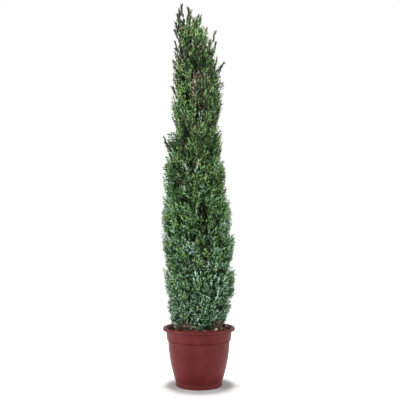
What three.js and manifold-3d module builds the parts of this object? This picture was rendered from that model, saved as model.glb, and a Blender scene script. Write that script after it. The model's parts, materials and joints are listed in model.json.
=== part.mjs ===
// A potted Italian cypress: a slender, dense evergreen column in a round plastic pot.
// Millimetres, +Z up. The origin is the centre of the pot's flat underside.
//
// The trunk leans a little to -X. Round it the crown is shared out in tiers, one above the other, and
// each tier in sectors. The tiers meet on bowls that rise outwards, as the boughs do, so every mass of
// foliage has a space of its own between two bowls, two sector walls, the trunk and the crown's outline.
import * as THREE from "three";
import { mergeVertices } from "three/addons/utils/BufferGeometryUtils.js";
import Module from "manifold-3d";

const wasm = await Module();
wasm.setup();

// ---------------------------------------------------------------- driving dimensions

const CLEAR = 0.3; // between solids that touch on the real plant
const EASE = 1.4; // how far a fused mass may be smoothed, to shed slivers

// Pot: foot, swelling body, band and rolled rim.
const POT_SIDES = 24;
const POT_WALL = 3;
const FLOOR = 5;
const FOOT_RADIUS = 97;
const FOOT_HEIGHT = 19;
const FOOT_EASE = 1.5;
const BODY_RADIUS = { foot: 99.3, swell: 126.3, shoulder: 129.6 };
const SHOULDER_HEIGHT = 179;
const BAND_RADIUS = { bottom: 135.3, top: 139.3 };
const BAND_BOTTOM = 185.5;
const ROLL_RADIUS = 8.1;
const ROLL_HEIGHT = 228.9;
const LIP_BOTTOM = 224;
const CURVE_STEPS = 3;

// Soil, filled to a little below the rim.
const SOIL_TOP = 214;
const SOIL_FLAT = 45;
const SOIL_DIP = 4;

// Trunk, from its flat cut on the soil to the end where the leading shoots take over.
const TRUNK_END = 1305;
const TRUNK_RADIUS = { foot: 12, end: 3 };
const FLARE = { extra: 7, fade: 22 };
const TRUNK_SIDES = 8;
const TRUNK_STEPS = 12;
const TRUNK_CROWDING = 1.7; // rings lie closer together in the flare
const TREE_TOP = 1694;
const LEAN = { aside: 83, power: 4.5 };
const SWAY = { aside: 4, waves: 6 };

// Crown tiers from the soil up: the height of the notch under each at the outline, the reach there from
// the trunk to the left (-X) and to the right (+X), and the number of masses round the trunk.
const TIERS = [
  { notch: 242, left: 122, right: 106, masses: 4 },
  { notch: 385, left: 148, right: 162, masses: 4 },
  { notch: 535, left: 166, right: 158, masses: 4 },
  { notch: 690, left: 180, right: 164, masses: 4 },
  { notch: 850, left: 168, right: 136, masses: 3 },
  { notch: 1010, left: 158, right: 116, masses: 3 },
  { notch: 1170, left: 122, right: 108, masses: 3 },
  { notch: 1335, left: 104, right: 146, masses: 3 },
];
const TOP_NOTCH = { notch: 1500, left: 58, right: 128 };
const BOUGH_TIERS = 5; // the tiers whose masses stand on boughs; above them the stems leave the trunk
const NOTCH = { depth: 0.06, bulge: 0.7 }; // the outline draws in between tiers
const CLEFT_DEPTH = 0.06; // and between the masses of a tier
const BOWL = { foot: 26, gain: 88, most: 205, power: 1.6 };
const TURN_PER_TIER = 0.21; // of a whole turn
const GAP = 3; // kept free inside every boundary
const TWIST = 0.35; // of the sector walls, from a tier's foot to its top

// Limbs and sprays.
const LIMB_SIDES = 5;
const LIMB_STEPS = 3;
const BOUGH_RADIUS = { root: 6.5, tip: 3.6 };
const STEM_RADIUS = { root: 3.2, tip: 1.2 };
const BOUGH_SHARE = 0.5; // of the line from the trunk to the tip of the stem
const TWIG_RADIUS = 1.8;
const TWIG_FROM = 0.25; // along the stem
const PLUMES = {
  count: 3,
  spacing: 0.55,
  width: 0.44,
  depth: 0.27,
  foot: 0.6,
  head: 0.71,
  low: 0.03,
  blunt: 1.35,
  narrowing: 0.1,
  sides: 5,
  rows: 4,
  shortest: 0.88,
};
const RISES = { middle: [0.34, 0.64, 0.95], side: [0.3, 0.6, 0.93] };
const SPRAY = { length: 92, width: 0.42, thick: 9, ridge: 0.7, rootOut: 0.76, stray: 0.14, turn: 0.3 };
const SPRAY_RISE = { drop: 0.08, least: 0.12 };
const TEETH = {
  left: [
    { tip: 0.58, side: 0.5, notch: 0.64, inner: 0.26 },
    { tip: 0.8, side: 0.3, notch: 0.83, inner: 0.13 },
  ],
  right: [{ tip: 0.68, side: 0.46, notch: 0.74, inner: 0.17 }],
};

// The leading shoots above the last tier: their reach at its top, their core, and their sprays.
const LEADER = { left: 56, right: 122, taper: 0.6, length: 88, slim: 0.6, rootOut: 0.35, turned: 0.6 };
const HEART = { foot: 1330, top: 1645, share: 0.66, flutes: 4, flute: 0.14, sides: 8, rows: 6 };
const LEADER_ROWS = [
  { height: 1492, sprays: 5 },
  { height: 1532, sprays: 5 },
  { height: 1568, sprays: 4 },
  { height: 1602, sprays: 4 },
  { height: 1636, sprays: 3 },
  { height: 1664, sprays: 2 },
];
const LONE_TIPS = [
  [-46, 12, 1681],
  [14, -8, 1640],
];

// ---------------------------------------------------------------- solids

/** A closed three.js geometry as a manifold solid. */
function solidOf(geometry) {
  const bare = geometry.clone();
  bare.deleteAttribute("normal");
  bare.deleteAttribute("uv");
  const merged = mergeVertices(bare, 1e-3);
  return new wasm.Manifold(
    new wasm.Mesh({
      numProp: 3,
      vertProperties: new Float32Array(merged.getAttribute("position").array),
      triVerts: new Uint32Array(merged.index.array),
    }),
  );
}

/** A manifold solid as a named mesh. */
function meshOf(name, solid, material) {
  const data = solid.getMesh();
  const geometry = new THREE.BufferGeometry();
  geometry.setAttribute("position", new THREE.BufferAttribute(data.vertProperties, 3));
  geometry.setIndex(new THREE.BufferAttribute(data.triVerts, 1));
  geometry.computeVertexNormals();
  const mesh = new THREE.Mesh(geometry, material);
  mesh.name = name;
  return mesh;
}

/** All the solids as one, without any loose scrap. */
function fused(solids, tolerance = 0) {
  const pieces = wasm.Manifold.union(solids).simplify(tolerance).decompose();
  return pieces.reduce((most, piece) => (piece.volume() > most.volume() ? piece : most));
}

/** A tapering limb: the rings of a cylinder, carried along a curve. */
function limb(curve, radiusAt, sides, steps) {
  const geometry = new THREE.CylinderGeometry(1, 1, 1, sides, steps);
  const places = geometry.getAttribute("position");
  const local = new THREE.Vector3();
  for (let i = 0; i < places.count; i++) {
    local.fromBufferAttribute(places, i);
    const along = THREE.MathUtils.clamp(local.y + 0.5, 0, 1);
    const tangent = curve.getTangent(along);
    const across = new THREE.Vector3(0, 1, 0).cross(tangent).normalize();
    const third = new THREE.Vector3().crossVectors(across, tangent);
    const radius = radiusAt(along);
    const place = curve
      .getPoint(along)
      .addScaledVector(across, local.x * radius)
      .addScaledVector(third, local.z * radius);
    places.setXYZ(i, place.x, place.y, place.z);
  }
  return solidOf(geometry);
}

/** A straight taper from one radius to another. */
function taper(from, to) {
  return (along) => THREE.MathUtils.lerp(from, to, along);
}

/** A solid turned about +Z from a profile of (radius, height) points. */
function turned(points, sides) {
  const geometry = new THREE.LatheGeometry(points, sides);
  geometry.rotateX(Math.PI / 2);
  return solidOf(geometry);
}

/** A number from 0 to 1 that is always the same for the same seed. */
function chance(seed) {
  const wave = Math.sin(seed * 12.9898 + 4.1414) * 43758.5453;
  return wave - Math.floor(wave);
}

// ---------------------------------------------------------------- pot and soil

/** The pot's inner wall from the rim's roll down to the floor, moved inwards by a gap. */
function innerWall(gap) {
  const inset = POT_WALL + gap;
  const path = new THREE.Path();
  path.moveTo(BAND_RADIUS.top - inset, ROLL_HEIGHT);
  path.lineTo(BAND_RADIUS.bottom - inset, BAND_BOTTOM);
  path.lineTo(BODY_RADIUS.shoulder - inset, SHOULDER_HEIGHT);
  path.quadraticCurveTo(
    BODY_RADIUS.swell - inset,
    (SHOULDER_HEIGHT + FOOT_HEIGHT) / 2,
    BODY_RADIUS.foot - inset,
    FOOT_HEIGHT,
  );
  path.lineTo(BODY_RADIUS.foot - inset - FOOT_EASE, FLOOR + gap);
  return path.getPoints(CURVE_STEPS);
}

/** Round plastic pot with a rolled rim, open below the roll. */
function pot() {
  const outer = new THREE.Path();
  const rollCentre = BAND_RADIUS.top + ROLL_RADIUS - POT_WALL;
  outer.moveTo(0, 0);
  outer.lineTo(FOOT_RADIUS - FOOT_EASE, 0);
  outer.lineTo(FOOT_RADIUS, FOOT_EASE);
  outer.lineTo(FOOT_RADIUS, FOOT_HEIGHT);
  outer.lineTo(BODY_RADIUS.foot, FOOT_HEIGHT + FOOT_EASE);
  outer.quadraticCurveTo(
    BODY_RADIUS.swell,
    (SHOULDER_HEIGHT + FOOT_HEIGHT) / 2,
    BODY_RADIUS.shoulder,
    SHOULDER_HEIGHT,
  );
  outer.lineTo(BAND_RADIUS.bottom, BAND_BOTTOM);
  outer.lineTo(BAND_RADIUS.top, ROLL_HEIGHT);
  outer.lineTo(rollCentre + ROLL_RADIUS - POT_WALL, ROLL_HEIGHT);
  outer.lineTo(rollCentre + ROLL_RADIUS - POT_WALL, LIP_BOTTOM);
  outer.lineTo(rollCentre + ROLL_RADIUS, LIP_BOTTOM);
  outer.absarc(rollCentre, ROLL_HEIGHT, ROLL_RADIUS, 0, Math.PI, false);
  const inside = [...innerWall(0), new THREE.Vector2(0, FLOOR)];
  return turned([...outer.getPoints(CURVE_STEPS), ...inside.slice(1)], POT_SIDES);
}

/** The potting soil: it fills the pot, and lies flat round the trunk. */
function soil() {
  const wall = innerWall(CLEAR).filter((point) => point.y < SOIL_TOP - SOIL_DIP);
  const slope = (BAND_RADIUS.top - BAND_RADIUS.bottom) / (ROLL_HEIGHT - BAND_BOTTOM);
  const rise = SOIL_TOP - SOIL_DIP - BAND_BOTTOM;
  const brim = new THREE.Vector2(BAND_RADIUS.bottom - POT_WALL - CLEAR + slope * rise, SOIL_TOP - SOIL_DIP);
  const outline = [
    new THREE.Vector2(0, FLOOR + CLEAR),
    ...wall.reverse(),
    brim,
    new THREE.Vector2(SOIL_FLAT, SOIL_TOP - CLEAR),
    new THREE.Vector2(0, SOIL_TOP - CLEAR),
  ];
  return turned(outline, POT_SIDES);
}

// ---------------------------------------------------------------- trunk

/** The trunk's centre line at a height. */
function axisAt(height) {
  const share = Math.max(0, (height - SOIL_TOP) / (TREE_TOP - SOIL_TOP));
  const sway = SWAY.aside * (1 - Math.cos(SWAY.waves * share));
  return new THREE.Vector3(-LEAN.aside * share ** LEAN.power, sway, height);
}

/** The height of the trunk's ring at a share of its rings. */
function ringHeight(along) {
  return SOIL_TOP + (TRUNK_END - SOIL_TOP) * along ** TRUNK_CROWDING;
}

/** The trunk's radius at one of its rings, with the flare of its root. */
function trunkRadius(along, extra = 0) {
  const height = ringHeight(along) - SOIL_TOP;
  const swell = FLARE.extra * Math.exp(-height / FLARE.fade);
  const share = height / (TRUNK_END - SOIL_TOP);
  return THREE.MathUtils.lerp(TRUNK_RADIUS.foot, TRUNK_RADIUS.end, share) + swell + extra;
}

class TrunkLine extends THREE.Curve {
  getPoint(along) {
    return axisAt(ringHeight(along));
  }
}

/** The trunk, or with extra the space that limbs keep clear of. */
function trunk(extra = 0) {
  const line = new TrunkLine();
  return limb(line, (along) => trunkRadius(along, extra), TRUNK_SIDES, TRUNK_STEPS);
}

// ---------------------------------------------------------------- the crown's spaces

/** A tier's reach from the trunk in a direction. */
function reachOf(tier, turn) {
  return (tier.left + tier.right) / 2 + ((tier.right - tier.left) / 2) * Math.cos(turn);
}

/** The bowl under a tier: it rises outwards, ever more steeply, as the boughs do. */
function bowlUnder(index) {
  const tier = TIERS[index] ?? TOP_NOTCH;
  const depth = Math.min(BOWL.most, BOWL.foot + BOWL.gain * index);
  return (radius, turn) => tier.notch - depth * (1 - (radius / reachOf(tier, turn)) ** BOWL.power);
}

/**
 * The space of one mass. at(across, out, rise) is a point in it: across runs from -1 to 1 between the
 * sector walls, out from 0 at the trunk to 1 at the outline, and rise from 0 to 1 between the bowls.
 */
function space(tierIndex, sector) {
  const tier = TIERS[tierIndex];
  const above = TIERS[tierIndex + 1] ?? TOP_NOTCH;
  const lower = bowlUnder(tierIndex);
  const upper = bowlUnder(tierIndex + 1);
  const half = Math.PI / tier.masses;
  const centre = 2 * Math.PI * (TURN_PER_TIER * tierIndex + sector / tier.masses);
  return {
    centre,
    half,
    height: above.notch - tier.notch,
    at(across, out, rise) {
      const turn = centre + across * half + TWIST * (rise - 0.5);
      const bulge = Math.sin(Math.PI * THREE.MathUtils.clamp(rise, 0, 1)) ** NOTCH.bulge;
      const lobe = 1 - NOTCH.depth * (1 - bulge) - CLEFT_DEPTH * across ** 4;
      const inner = TRUNK_RADIUS.foot;
      const reach = THREE.MathUtils.lerp(reachOf(tier, turn), reachOf(above, turn), rise);
      const radius = Math.max(0, inner + out * (reach * lobe - inner));
      const height = THREE.MathUtils.lerp(lower(radius, turn), upper(radius, turn), rise);
      const axis = axisAt(height);
      return new THREE.Vector3(
        axis.x + radius * Math.cos(turn),
        axis.y + radius * Math.sin(turn),
        height,
      );
    },
    holds(point) {
      const axis = axisAt(point.z);
      const radius = Math.hypot(point.x - axis.x, point.y - axis.y);
      const turn = Math.atan2(point.y - axis.y, point.x - axis.x);
      const floor = lower(radius, turn);
      const roof = upper(radius, turn);
      const off = turn - centre - TWIST * ((point.z - floor) / (roof - floor) - 0.5);
      const aside = Math.abs(Math.atan2(Math.sin(off), Math.cos(off)));
      return (
        point.z > floor + GAP &&
        point.z < roof - GAP &&
        (half - aside) * radius > GAP / 2 &&
        radius > TRUNK_RADIUS.foot + GAP
      );
    },
  };
}

/** The line of a mass's bough and stem: out from the trunk, then up to the tip. */
function leaderLine(cell) {
  return new THREE.CatmullRomCurve3([
    cell.at(0, -0.08, 0.02),
    cell.at(0, 0.13, 0.1),
    cell.at(0, 0.3, 0.3),
    cell.at(0, 0.52, 0.6),
    cell.at(0, 0.7, 0.9),
  ]);
}

/** A stretch of a curve, as a curve. */
function stretch(curve, from, to) {
  const points = [];
  for (let i = 0; i <= 4; i++) points.push(curve.getPoint(THREE.MathUtils.lerp(from, to, i / 4)));
  return new THREE.CatmullRomCurve3(points);
}

// ---------------------------------------------------------------- foliage

/** A spray of needles: a ridged blade with teeth on both sides, from its root to its tip. */
function spray(root, tip, facing, slim = 1) {
  const length = root.distanceTo(tip);
  const along = tip.clone().sub(root).normalize();
  const across = new THREE.Vector3().crossVectors(facing, along).normalize();
  const front = new THREE.Vector3().crossVectors(along, across);
  const at = (share, side, lift) =>
    root
      .clone()
      .addScaledVector(along, share * length)
      .addScaledVector(across, side * SPRAY.width * slim * length)
      .addScaledVector(front, lift * SPRAY.thick);
  const edge = (teeth, sign) =>
    teeth.flatMap((tooth) => [at(tooth.tip, sign * tooth.side, 0), at(tooth.notch, sign * tooth.inner, 0)]);
  const left = edge(TEETH.left, -1);
  const right = edge(TEETH.right, 1);
  const outline = [root, ...left, tip, ...right.reverse()];
  const corners = [...outline, at(SPRAY.ridge, 0, 0.5), at(SPRAY.ridge, 0, -0.5)];
  const faces = [];
  for (let i = 0; i < outline.length; i++) {
    const next = (i + 1) % outline.length;
    faces.push(i, next, outline.length);
    faces.push(next, i, outline.length + 1);
  }
  const geometry = new THREE.BufferGeometry().setFromPoints(corners);
  geometry.setIndex(faces);
  return { corners, solid: () => solidOf(geometry) };
}

/** A straight three-sided twig. */
function twig(from, to) {
  const line = new THREE.LineCurve3(from, to);
  return limb(line, taper(TWIG_RADIUS, TWIG_RADIUS / 2), 3, 1);
}

/** One plume of a mass's dense core: a ball drawn out along its space, pointed at the top. */
function plume(cell, middle, top) {
  const ball = new THREE.SphereGeometry(1, PLUMES.sides, PLUMES.rows);
  const places = ball.getAttribute("position");
  for (let i = 0; i < places.count; i++) {
    const share = ((places.getY(i) + 1) / 2) ** PLUMES.blunt;
    const out = THREE.MathUtils.lerp(PLUMES.foot, PLUMES.head, share) + PLUMES.depth * places.getX(i);
    const width = PLUMES.width * (1 - PLUMES.narrowing * share);
    const rise = THREE.MathUtils.lerp(PLUMES.low, top, share);
    const place = cell.at(middle - width * places.getZ(i), out, rise);
    places.setXYZ(i, place.x, place.y, place.z);
  }
  return solidOf(ball);
}

/** A mass of foliage: a stem whose twigs run up into plumes, and sprays that stand out of these. */
function mass(cell, line, from, seed) {
  const stemLine = stretch(line, from, 1);
  const parts = [limb(stemLine, taper(STEM_RADIUS.root, STEM_RADIUS.tip), LIMB_SIDES, LIMB_STEPS)];
  for (let j = 0; j < PLUMES.count; j++) {
    const middle = PLUMES.spacing * (j - (PLUMES.count - 1) / 2);
    const top = THREE.MathUtils.lerp(1, PLUMES.shortest, chance(seed + j));
    parts.push(plume(cell, middle, top));
    if (middle !== 0) parts.push(twig(stemLine.getPoint(TWIG_FROM), cell.at(middle, PLUMES.foot, RISES.side[0])));
    (middle === 0 ? RISES.middle : RISES.side).forEach((level, k) => {
      const draw = (salt) => chance(seed + 20 * j + 3.7 * k + salt);
      const across = middle + SPRAY.stray * (2 * draw(1) - 1);
      const rise = (level - SPRAY_RISE.drop * draw(2)) * top;
      const tip = cell.at(across, 1, rise);
      const beside = cell.at(across, SPRAY.rootOut, rise);
      const drop = Math.max(0, SPRAY.length - tip.distanceTo(beside)) / cell.height;
      const low = Math.max(SPRAY_RISE.least, rise - drop);
      const root = cell.at((across + middle) / 2, SPRAY.rootOut, low);
      const turn = cell.centre + across * cell.half + SPRAY.turn * (2 * draw(3) - 1);
      const blade = spray(root, tip, new THREE.Vector3(Math.cos(turn), Math.sin(turn), 0));
      if (blade.corners.every((corner) => cell.holds(corner))) parts.push(blade.solid());
    });
  }
  return fused(parts, EASE);
}

/** The crown's top: the leading shoots round the last of the trunk. */
function leader() {
  const bowl = bowlUnder(TIERS.length);
  const around = (turn, height, share) => {
    const axis = axisAt(height);
    const toTop = THREE.MathUtils.clamp((TREE_TOP - height) / (TREE_TOP - TOP_NOTCH.notch), 0, 1);
    const radius = share * reachOf(LEADER, turn) * toTop ** LEADER.taper;
    const place = new THREE.Vector3(axis.x + radius * Math.cos(turn), axis.y + radius * Math.sin(turn), height);
    place.z = Math.max(height, bowl(radius, turn) + 2 * GAP);
    return place;
  };
  const fork = axisAt(TRUNK_END + CLEAR);
  const stem = new THREE.LineCurve3(fork, axisAt((HEART.foot + HEART.top) / 2));
  const parts = [limb(stem, taper(TRUNK_RADIUS.end, STEM_RADIUS.tip), LIMB_SIDES, 1)];
  const ball = new THREE.SphereGeometry(1, HEART.sides, HEART.rows);
  const places = ball.getAttribute("position");
  for (let i = 0; i < places.count; i++) {
    const turn = Math.atan2(-places.getZ(i), places.getX(i));
    const round = Math.hypot(places.getX(i), places.getZ(i));
    const height = THREE.MathUtils.lerp(HEART.foot, HEART.top, (places.getY(i) + 1) / 2);
    const flute = 1 + HEART.flute * Math.cos(HEART.flutes * turn);
    const place = around(turn, height, round * HEART.share * flute);
    places.setXYZ(i, place.x, place.y, place.z);
  }
  parts.push(solidOf(ball));
  const shoot = (tip, turn) => {
    const foot = axisAt(tip.z - LEADER.length);
    const root = foot.lerp(new THREE.Vector3(tip.x, tip.y, foot.z), LEADER.rootOut);
    const facing = new THREE.Vector3(Math.cos(turn), Math.sin(turn), 0);
    parts.push(spray(root, tip, facing, LEADER.slim).solid());
  };
  LEADER_ROWS.forEach((row, rowIndex) => {
    for (let k = 0; k < row.sprays; k++) {
      const turn = 2 * Math.PI * (k / row.sprays + TURN_PER_TIER * rowIndex);
      shoot(around(turn, row.height, 1), turn + LEADER.turned);
    }
  });
  const tips = [axisAt(TREE_TOP), ...LONE_TIPS.map((tip) => new THREE.Vector3(...tip))];
  for (const tip of tips) shoot(tip, Math.PI / 2);
  return fused(parts, EASE);
}

// ---------------------------------------------------------------- the plant

const potPlastic = new THREE.MeshStandardMaterial({ color: 0x7c3235, roughness: 0.45 });
const soilBrown = new THREE.MeshStandardMaterial({ color: 0x3c2c24, roughness: 0.95 });
const bark = new THREE.MeshStandardMaterial({ color: 0x6b5443, roughness: 0.9 });
const foliage = new THREE.MeshStandardMaterial({ color: 0x4a6640, roughness: 0.75 });

const plant = new THREE.Group();
plant.add(meshOf("pot", pot(), potPlastic));
plant.add(meshOf("soil", soil(), soilBrown));
plant.add(meshOf("trunk", trunk(), bark));

const aroundTrunk = trunk(CLEAR);
TIERS.forEach((tier, tierIndex) => {
  for (let sector = 0; sector < tier.masses; sector++) {
    const label = `${tierIndex + 1}_${sector + 1}`;
    const cell = space(tierIndex, sector);
    const line = leaderLine(cell);
    const seed = 100 * tierIndex + 10 * sector;
    if (tierIndex < BOUGH_TIERS) {
      const gapShare = CLEAR / line.getLength();
      const boughLine = stretch(line, 0, BOUGH_SHARE);
      const bough = limb(boughLine, taper(BOUGH_RADIUS.root, BOUGH_RADIUS.tip), LIMB_SIDES, LIMB_STEPS);
      plant.add(meshOf(`bough_${label}`, fused([bough.subtract(aroundTrunk)]), bark));
      plant.add(meshOf(`foliage_${label}`, mass(cell, line, BOUGH_SHARE + gapShare, seed), foliage));
    } else {
      const whole = mass(cell, line, 0, seed);
      plant.add(meshOf(`foliage_${label}`, fused([whole.subtract(aroundTrunk)]), foliage));
    }
  }
});
plant.add(meshOf("leader", leader(), foliage));

export default plant;
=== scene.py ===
"""Dresses the potted Italian cypress: bark, twigs and sprays, the moulded pot, and the litter on its soil.

Sizes are in millimetres, as in the solids, and MM carries them to metres. The crown is shared out in the
same tiers, sectors and bowls as the solids, and grows on from their boughs to finer twigs.
"""

import json
import math
from collections import namedtuple

import bpy
import numpy as np
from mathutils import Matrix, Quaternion, Vector

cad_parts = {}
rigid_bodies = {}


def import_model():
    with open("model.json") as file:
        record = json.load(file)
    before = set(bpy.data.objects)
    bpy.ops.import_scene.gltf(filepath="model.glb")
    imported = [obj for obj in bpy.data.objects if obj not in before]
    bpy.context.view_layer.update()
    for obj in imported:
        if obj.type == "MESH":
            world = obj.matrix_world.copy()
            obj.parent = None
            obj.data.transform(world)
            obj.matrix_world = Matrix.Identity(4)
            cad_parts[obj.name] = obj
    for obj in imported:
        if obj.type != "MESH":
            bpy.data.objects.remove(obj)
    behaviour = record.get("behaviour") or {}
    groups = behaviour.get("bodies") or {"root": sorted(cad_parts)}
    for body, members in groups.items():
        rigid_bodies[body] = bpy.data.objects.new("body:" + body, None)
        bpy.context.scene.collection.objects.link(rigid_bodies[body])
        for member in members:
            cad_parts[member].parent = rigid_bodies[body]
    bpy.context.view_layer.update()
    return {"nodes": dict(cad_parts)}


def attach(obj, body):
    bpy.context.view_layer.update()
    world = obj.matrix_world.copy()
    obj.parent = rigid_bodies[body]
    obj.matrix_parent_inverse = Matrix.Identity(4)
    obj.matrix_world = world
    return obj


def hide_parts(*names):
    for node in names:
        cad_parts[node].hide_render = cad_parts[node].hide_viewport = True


MM = 0.001

# ---------------------------------------------------------------- camera

camera_data = bpy.data.cameras.new("camera")
camera_data.lens = 43.41
camera = bpy.data.objects.new("camera", camera_data)
camera.location = (0.0043, -2.1, 0.52)
camera.rotation_euler = (math.radians(97.02), 0, 0)
bpy.context.scene.collection.objects.link(camera)
bpy.context.scene.camera = camera

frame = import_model()

# ---------------------------------------------------------------- the crown's rule, as in the solids

SOIL_TOP = 214
TREE_TOP = 1694
TRUNK_END = 1305
TRUNK_RADIUS = (12, 3)
TRUNK_CROWDING = 1.7
FLARE = {"extra": 7, "fade": 22}
LEAN = {"aside": 83, "power": 4.5}
SWAY = {"aside": 4, "waves": 6}

Tier = namedtuple("Tier", "notch left right masses")
TIERS = [
    Tier(242, 122, 106, 4),
    Tier(385, 148, 162, 4),
    Tier(535, 166, 158, 4),
    Tier(690, 180, 164, 4),
    Tier(850, 168, 136, 3),
    Tier(1010, 158, 116, 3),
    Tier(1170, 122, 108, 3),
    Tier(1335, 104, 146, 3),
]
TOP_NOTCH = Tier(1500, 58, 128, 0)
BOUGH_TIERS = 5
NOTCH = {"depth": 0.06, "bulge": 0.7}
CLEFT_DEPTH = 0.06
BOWL = {"foot": 26, "gain": 88, "most": 205, "power": 1.6}
TURN_PER_TIER = 0.21
GAP = 3
TWIST = 0.35
BOUGH_RADIUS = (6.5, 3.6)
STEM_RADIUS = (3.2, 1.2)
BOUGH_SHARE = 0.5
PLUME_SPACING = 0.55
SHORTEST_PLUME = 0.88
LEADER = {"left": 56, "right": 122, "taper": 0.6}
LEADER_ROWS = [(1492, 5), (1532, 5), (1568, 4), (1602, 4), (1636, 3), (1664, 2)]
LONE_TIPS = [
    (-49, 12, 1679),
    (-5, 6, 1636),
    (14, -8, 1632),
    (-98, 0, 1637),
    (-103, 8, 1594),
    (43, 4, 1569),
    (85, -6, 1550),
    (92, 8, 1512),
]


def mixed(a, b, share):
    return a + (b - a) * share


def unit(vectors):
    return vectors / np.maximum(np.linalg.norm(vectors, axis=-1, keepdims=True), 1e-9)


def chance(seed):
    """A number from 0 to 1 that is always the same for the same seed, and the same as in the solids."""
    wave = math.sin(seed * 12.9898 + 4.1414) * 43758.5453
    return wave - math.floor(wave)


def axis_at(height):
    """The trunk's centre line at a height, or at many."""
    height = np.asarray(height, float)
    share = np.maximum(0, (height - SOIL_TOP) / (TREE_TOP - SOIL_TOP))
    x = -LEAN["aside"] * share ** LEAN["power"]
    y = SWAY["aside"] * (1 - np.cos(SWAY["waves"] * share))
    return np.stack([x, y, height], axis=-1)


def reach_of(left, right, turn):
    """How far the crown reaches at a turn, from its reach to the left and to the right."""
    return (left + right) / 2 + (right - left) / 2 * np.cos(turn)


def bowl_under(index):
    """The bowl under a tier: it rises outwards, ever more steeply, as the boughs do."""
    tier = TIERS[index] if index < len(TIERS) else TOP_NOTCH
    depth = min(BOWL["most"], BOWL["foot"] + BOWL["gain"] * index)

    def height(radius, turn):
        return tier.notch - depth * (1 - (radius / reach_of(tier.left, tier.right, turn)) ** BOWL["power"])

    return height


class Space:
    """The space of one mass: across runs from -1 to 1, out from 0 at the trunk to 1, and rise from 0 to 1."""

    def __init__(self, tier_index, sector):
        self.tier = TIERS[tier_index]
        self.above = TIERS[tier_index + 1] if tier_index + 1 < len(TIERS) else TOP_NOTCH
        self.lower = bowl_under(tier_index)
        self.upper = bowl_under(tier_index + 1)
        self.half = math.pi / self.tier.masses
        self.centre = 2 * math.pi * (TURN_PER_TIER * tier_index + sector / self.tier.masses)
        self.height = self.above.notch - self.tier.notch

    def reach(self, across, turn, rise):
        """How far the mass stands out from the trunk's centre line."""
        bulge = np.sin(np.pi * np.clip(rise, 0, 1)) ** NOTCH["bulge"]
        lobe = 1 - NOTCH["depth"] * (1 - bulge) - CLEFT_DEPTH * across**4
        here = reach_of(self.tier.left, self.tier.right, turn)
        over = reach_of(self.above.left, self.above.right, turn)
        return mixed(here, over, rise) * lobe

    def at(self, across, out, rise):
        """The point of the space at these three shares, or many points at many."""
        across, out, rise = np.broadcast_arrays(*(np.asarray(v, float) for v in (across, out, rise)))
        turn = self.centre + across * self.half + TWIST * (rise - 0.5)
        inner = TRUNK_RADIUS[0]
        radius = np.maximum(0, inner + out * (self.reach(across, turn, rise) - inner))
        height = mixed(self.lower(radius, turn), self.upper(radius, turn), rise)
        axis = axis_at(height)
        return np.stack([axis[..., 0] + radius * np.cos(turn), axis[..., 1] + radius * np.sin(turn), height], axis=-1)

    def holds(self, points):
        """Whether points lie in the space, a gap away from the trunk and from the spaces beside it."""
        axis = axis_at(points[..., 2])
        offset = points - axis
        radius = np.hypot(offset[..., 0], offset[..., 1])
        turn = np.arctan2(offset[..., 1], offset[..., 0])
        floor, roof = self.lower(radius, turn), self.upper(radius, turn)
        rise = (points[..., 2] - floor) / (roof - floor)
        off = turn - self.centre - TWIST * (rise - 0.5)
        across = np.arctan2(np.sin(off), np.cos(off)) / self.half
        return (
            (points[..., 2] > floor + GAP)
            & (points[..., 2] < roof - GAP)
            & ((1 - np.abs(across)) * self.half * radius > GAP / 2)
            & (radius > TRUNK_RADIUS[0] + GAP)
            & (radius < self.reach(np.clip(across, -1, 1), turn, rise))
        )


def curve_through(knots, count):
    """Points along a smooth curve through knots, as the solids' limbs run."""
    knots = np.asarray(knots, float)
    padded = np.vstack([2 * knots[0] - knots[1], knots, 2 * knots[-1] - knots[-2]])
    places = []
    for share in np.linspace(0, len(knots) - 1, count):
        i = min(int(share), len(knots) - 2)
        t = share - i
        a, b, c, d = padded[i : i + 4]
        places.append(
            0.5 * (2 * b + (c - a) * t + (2 * a - 5 * b + 4 * c - d) * t**2 + (3 * b - a - 3 * c + d) * t**3)
        )
    return np.array(places)


# ---------------------------------------------------------------- node trees


class Value:
    """A socket that can be used in sums: value * 2 + other adds the Math nodes."""

    def __init__(self, nodes, socket):
        self.nodes, self.socket = nodes, socket

    def math(self, operation, *values):
        inputs = dict(enumerate(values))
        return self.nodes.add("ShaderNodeMath", {"operation": operation}, inputs)

    def __add__(self, other):
        return self.math("ADD", self, other)

    def __sub__(self, other):
        return self.math("SUBTRACT", self, other)

    def __mul__(self, other):
        return self.math("MULTIPLY", self, other)

    def __rsub__(self, other):
        return self.math("SUBTRACT", other, self)

    __radd__ = __add__
    __rmul__ = __mul__


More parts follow.
